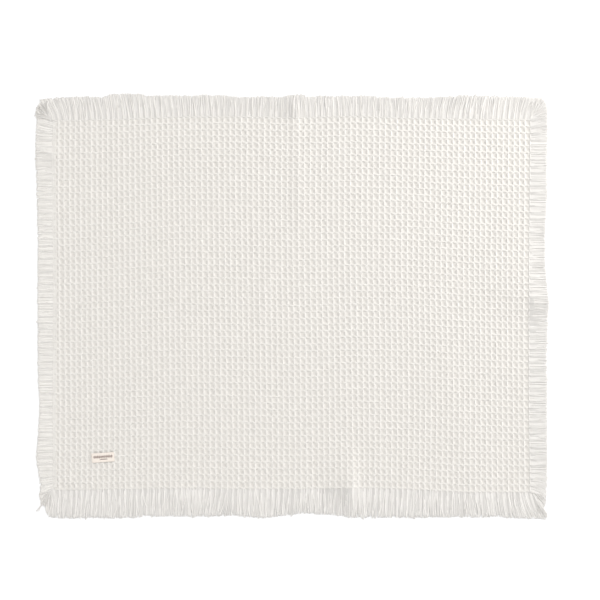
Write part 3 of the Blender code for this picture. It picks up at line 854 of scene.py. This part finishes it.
def linear(hex_colour):
    """An sRGB hex colour as linear red, green, blue and 1."""
    parts = np.array([int(hex_colour[k : k + 2], 16) / 255.0 for k in (0, 2, 4)])
    parts = np.where(parts <= 0.04045, parts / 12.92, ((parts + 0.055) / 1.055) ** 2.4)
    return (*parts.tolist(), 1.0)


def mix(tree, share, first, second):
    """A colour between two others."""
    made = node(tree, "ShaderNodeMix", data_type="RGBA")
    for socket, value in zip((made.inputs[0], made.inputs[6], made.inputs[7]), (share, first, second)):
        if isinstance(value, bpy.types.NodeSocket):
            tree.links.new(value, socket)
        else:
            socket.default_value = value
    return made.outputs[2]


def cotton(name, fibre_sheen):
    """A matt fibre surface: cellulose has an index of 1.53, and loose fibres spread the light and give a
    sheen at its rim."""
    material = bpy.data.materials.new(name)
    material.use_nodes = True
    tree = material.node_tree
    shader = tree.nodes["Principled BSDF"]
    looks = {"Roughness": 0.94, "IOR": 1.53, "Specular IOR Level": 0.25, "Sheen Roughness": 0.5}
    for socket, value in (*looks.items(), ("Sheen Weight", fibre_sheen)):
        shader.inputs[socket].default_value = value
    return material, tree, shader


def dress(tree, shader, colour, height, strength, distance):
    """Gives a shader its colour and, as a bump, its relief. The distance is in metres."""
    bump = node(tree, "ShaderNodeBump", {"Height": height, "Strength": strength, "Distance": distance})
    tree.links.new(colour, shader.inputs["Base Color"])
    tree.links.new(bump.outputs[0], shader.inputs["Normal"])


def fleck(tree, size):
    """Soft noise in object space with spots about this many millimetres wide."""
    place = node(tree, "ShaderNodeTexCoord").outputs["Object"]
    inputs = {"Vector": place, "Scale": 1.0 / (size * MM), "Detail": 2.0, "Roughness": 0.55}
    return node(tree, "ShaderNodeTexNoise", inputs).outputs["Fac"]


def rounds(tree, place, pitch):
    """Threads side by side seen in section: the absolute sine, 0 between two threads and 1 on each."""
    return maths(tree, "ABSOLUTE", maths(tree, "SINE", maths(tree, "MULTIPLY", place, np.pi / pitch)))


def twisted(tree, pitch):
    """The turns of a twisted yarn on its own UV map, from 0 to 1: a sine of the way along in turns of this
    many millimetres plus the way round."""
    along, round_it = node(tree, "ShaderNodeSeparateXYZ", {0: own_map(tree)}).outputs[:2]
    turns = maths(tree, "ADD", maths(tree, "DIVIDE", along, pitch), round_it)
    return maths(tree, "MULTIPLY_ADD", maths(tree, "SINE", maths(tree, "MULTIPLY", turns, TURN)), 0.5, 0.5)


def plain_woven_cotton():
    """The ground between the ridges, plain woven from the same soft yarn. Eight yarns a cell cross over and
    under.
    The spaces between the yarns get a little painted shade, and the middle of a cell is painted greyer
    towards its pit, as painted shade."""
    material, tree, shader = cotton("plain_woven_cotton", 0.05)
    lattice = own_map(tree)
    c, r = node(tree, "ShaderNodeSeparateXYZ", {0: lattice}).outputs[:2]
    warp = rounds(tree, c, 1.0 / THREADS_PER_CELL)
    weft = rounds(tree, r, 1.0 / THREADS_PER_CELL)
    over = node(tree, "ShaderNodeTexChecker", {"Vector": lattice, "Scale": THREADS_PER_CELL})
    crown = mix(tree, over.outputs["Fac"], warp, weft)
    # Painted shade: the colour turns from the top colour to the darker pit colour towards the middle of each
    # cell.
    near_c = maths(tree, "COSINE", maths(tree, "MULTIPLY", c, TURN))
    near_r = maths(tree, "COSINE", maths(tree, "MULTIPLY", r, TURN))
    pit_shade = maths(tree, "MULTIPLY_ADD", maths(tree, "ADD", near_c, near_r), -0.5, 0.0, clamp=True)
    pit_shade = maths(tree, "POWER", pit_shade, 0.8)
    base = mix(tree, pit_shade, linear(GROUND_TOP), linear(GROUND_PIT_SHADE))
    # Painted shade: a tenth of the darker colour lies in the spaces between the yarns.
    gap_shade = maths(tree, "MULTIPLY_ADD", crown, 0.1, 0.9)
    base = mix(tree, gap_shade, linear(GROUND_GAP_SHADE), base)
    base = mix(tree, maths(tree, "MULTIPLY", fleck(tree, 30.0), 0.3), base, linear(GROUND_TOP))
    fuzz = maths(tree, "MULTIPLY_ADD", fleck(tree, 0.7), 0.35, crown)
    dress(tree, shader, base, fuzz, 0.55, 0.0006)
    return material


def carded_cotton_yarn(name, crown_colour, shade_colour, twist):
    """Thick yarn, carded and loosely twisted: the turns run round it like a soft rope, and single fibres
    stand off.
    Its tone drifts at random in slubs, and the grooves between the turns are painted towards the shade
    colour, as painted shade."""
    material, tree, shader = cotton(name, 0.1)
    ply = twisted(tree, twist)
    slub = maths(tree, "MULTIPLY", fleck(tree, 24.0), 0.5)
    colour = mix(tree, slub, linear(crown_colour), linear(shade_colour))
    # Painted shade: the grooves of the twist turn up to a seventh of the way towards the shade colour.
    colour = mix(tree, maths(tree, "MULTIPLY_ADD", ply, -0.14, 0.14), colour, linear(shade_colour))
    fuzz = maths(tree, "MULTIPLY_ADD", fleck(tree, 0.6), 0.5, ply)
    dress(tree, shader, colour, fuzz, 0.4, 0.0004)
    return material


def woven_label_tape():
    """Taffeta-woven cotton tape: fine ribs across it, and a row of small lozenges and a short bar woven in
    with brown thread. Away from the crossings of the threads the cream is painted darker, as painted shade
    between them."""
    material, tree, shader = cotton("taffeta_woven_tape", 0.1)
    x, y = node(tree, "ShaderNodeSeparateXYZ", {0: own_map(tree)}).outputs[:2]

    def far(place, middle):
        """How far a place lies from this middle."""
        return maths(tree, "ABSOLUTE", maths(tree, "SUBTRACT", place, middle))

    def within(value, limit):
        """1 where a value is below this limit, and 0 elsewhere."""
        return maths(tree, "LESS_THAN", value, limit)

    step = maths(tree, "PINGPONG", maths(tree, "ADD", x, LOZENGE_STEP * 20.0), LOZENGE_STEP / 2.0)
    reach = maths(tree, "DIVIDE", step, LOZENGE_STEP / 2.0)
    rise = maths(tree, "DIVIDE", far(y, LOZENGE_UP), LOZENGE_HEIGHT / 2.0)
    shape = maths(tree, "ADD", reach, rise)
    lozenge = maths(tree, "SUBTRACT", within(shape, 1.0), within(shape, LOZENGE_HEART))
    row = maths(tree, "MULTIPLY", lozenge, within(far(x, 0.0), LOZENGE_STEP * LOZENGES / 2.0))
    bar_long = within(far(x, BAR_AT[0]), BAR_LENGTH / 2.0)
    bar_thin = within(far(y, BAR_AT[1]), BAR_HEIGHT / 2.0)
    marks = maths(tree, "MAXIMUM", row, maths(tree, "MULTIPLY", bar_long, bar_thin))
    rib, weft = rounds(tree, x, RIB_PITCH), rounds(tree, y, RIB_PITCH)
    # Painted shade: between the threads the cream turns to the darker tape colour.
    cream = mix(tree, maths(tree, "MULTIPLY", rib, weft), linear(TAPE_SHADE), linear(TAPE_CREAM))
    height = maths(tree, "MULTIPLY_ADD", marks, 0.6, maths(tree, "ADD", rib, weft))
    dress(tree, shader, mix(tree, marks, cream, linear(TAPE_BROWN)), height, 0.5, 0.0002)
    return material


def sewing_thread():
    """Mercerised cotton thread: smoother and a little shinier than the yarn. The grooves of its twist are
    painted darker, as painted shade.
    """
    material, tree, shader = cotton("mercerised_cotton_thread", 0.0)
    shader.inputs["Roughness"].default_value = 0.6
    ply = twisted(tree, THREAD_TWIST)
    # Painted shade: the thread's darker colour lies in the grooves of the twist.
    dress(tree, shader, mix(tree, ply, linear(THREAD_SHADE), linear(THREAD_CREAM)), ply, 0.4, 0.0001)
    return material


def main():
    rng = np.random.default_rng(57)
    # The weft and the loose yarns are the same cotton painted darker, as painted shade.
    warp_yarn = carded_cotton_yarn("carded_cotton_warp", WARP_CROWN, WARP_SHADE, WARP_TWIST)
    weft_yarn = carded_cotton_yarn("carded_cotton_weft", WEFT_CROWN, WEFT_SHADE, WEFT_TWIST)
    shaded_yarn = carded_cotton_yarn("cotton_yarn_painted_shade", SHADED_YARN_CROWN, SHADED_YARN_SHADE, LOOSE_TWIST)
    ground = ground_sheet(plain_woven_cotton())
    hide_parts("waffle_cloth")
    pieces = [ground]
    sets = (
        ("face_warp_ridges", FACE_WARP_LONG, True, False),
        ("face_weft_ridges", FACE_WEFT_LONG, False, False),
        ("face_warp_slopes", FACE_WARP_SHORT, True, False),
        ("face_weft_slopes", FACE_WEFT_SHORT, False, False),
        ("back_warp_ridges", BACK_YARNS, True, True),
        ("back_weft_ridges", BACK_YARNS, False, True),
    )
    for name, table, along_y, back in sets:
        floats = float_set(table, along_y, back, rng)
        pieces.append(new_piece(name, *floats, warp_yarn if along_y else weft_yarn))
    pieces.append(new_piece("plain_band_yarns", *band_yarns(rng), weft_yarn))
    for piece in pieces:
        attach(piece, "root")

    # Which tone each side's mat and ridge yarns take is painted light and shade: the darker copies go where
    # that part of the fringe should look more shaded, the lighter ones where it should look more lit.
    fringes = [
        *fringe_pieces("top", (), shaded_yarn, weft_yarn, rng),
        *fringe_pieces("bottom", (), shaded_yarn, warp_yarn, rng),
        *fringe_pieces("left", ("top_left", "bottom_left"), weft_yarn, shaded_yarn, rng),
        *fringe_pieces("right", ("top_right", "bottom_right"), shaded_yarn, shaded_yarn, rng),
    ]

    label = label_sheet(woven_label_tape())
    stitches = label_stitches(sewing_thread(), rng)
    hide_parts("label_patch")
    for piece in (label, stitches):
        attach(piece, "root")


def studio():
    """A white paper floor, an even white sky, and from the upper right one large soft light close by and a
    wide one like a window's."""
    scene = bpy.context.scene
    scene.view_settings.view_transform = "Standard"
    world = bpy.data.worlds.new("studio")
    world.use_nodes = True
    sky = world.node_tree.nodes["Background"]
    sky.inputs["Color"].default_value = (1.0, 1.0, 1.0, 1.0)
    sky.inputs["Strength"].default_value = SKY_STRENGTH
    scene.world = world

    mesh = bpy.data.meshes.new("floor")
    sides = ((-1, -1), (1, -1), (1, 1), (-1, 1))
    mesh.from_pydata([(x * FLOOR_HALF, y * FLOOR_HALF, FLOOR_HEIGHT) for x, y in sides], [], [(0, 1, 2, 3)])
    paper = bpy.data.materials.new("white_paper")
    paper.use_nodes = True
    shader = paper.node_tree.nodes["Principled BSDF"]
    shader.inputs["Base Color"].default_value = linear(PAPER_WHITE)
    shader.inputs["Roughness"].default_value = 0.9
    mesh.materials.append(paper)
    floor = new_object("floor", mesh)

    lamp = bpy.data.lights.new("softbox", "AREA")
    lamp.shape = "RECTANGLE"
    lamp.size = SOFTBOX_SIZE
    lamp.size_y = SOFTBOX_SIZE
    lamp.energy = SOFTBOX_WATTS
    light = new_object("softbox", lamp)
    light.location = SOFTBOX_AT
    light.rotation_euler = (-Vector(light.location)).to_track_quat("-Z", "Y").to_euler()
    light.visible_camera = False

    lamp = bpy.data.lights.new("window_light", "SUN")
    lamp.angle = WINDOW_ANGLE
    lamp.energy = WINDOW_STRENGTH
    light = new_object("window_light", lamp)
    light.rotation_euler = (-Vector(WINDOW_FROM)).to_track_quat("-Z", "Y").to_euler()

    camera = bpy.data.cameras.new("camera")
    camera.lens = LENS
    camera.sensor_width = SENSOR_WIDTH
    eye = new_object("camera", camera)
    height = LENS / SENSOR_WIDTH * PHOTO_WIDTH * MM
    eye.location = (PHOTO_CENTRE[0] * MM, PHOTO_CENTRE[1] * MM, height)
    scene.camera = eye


studio()
main()
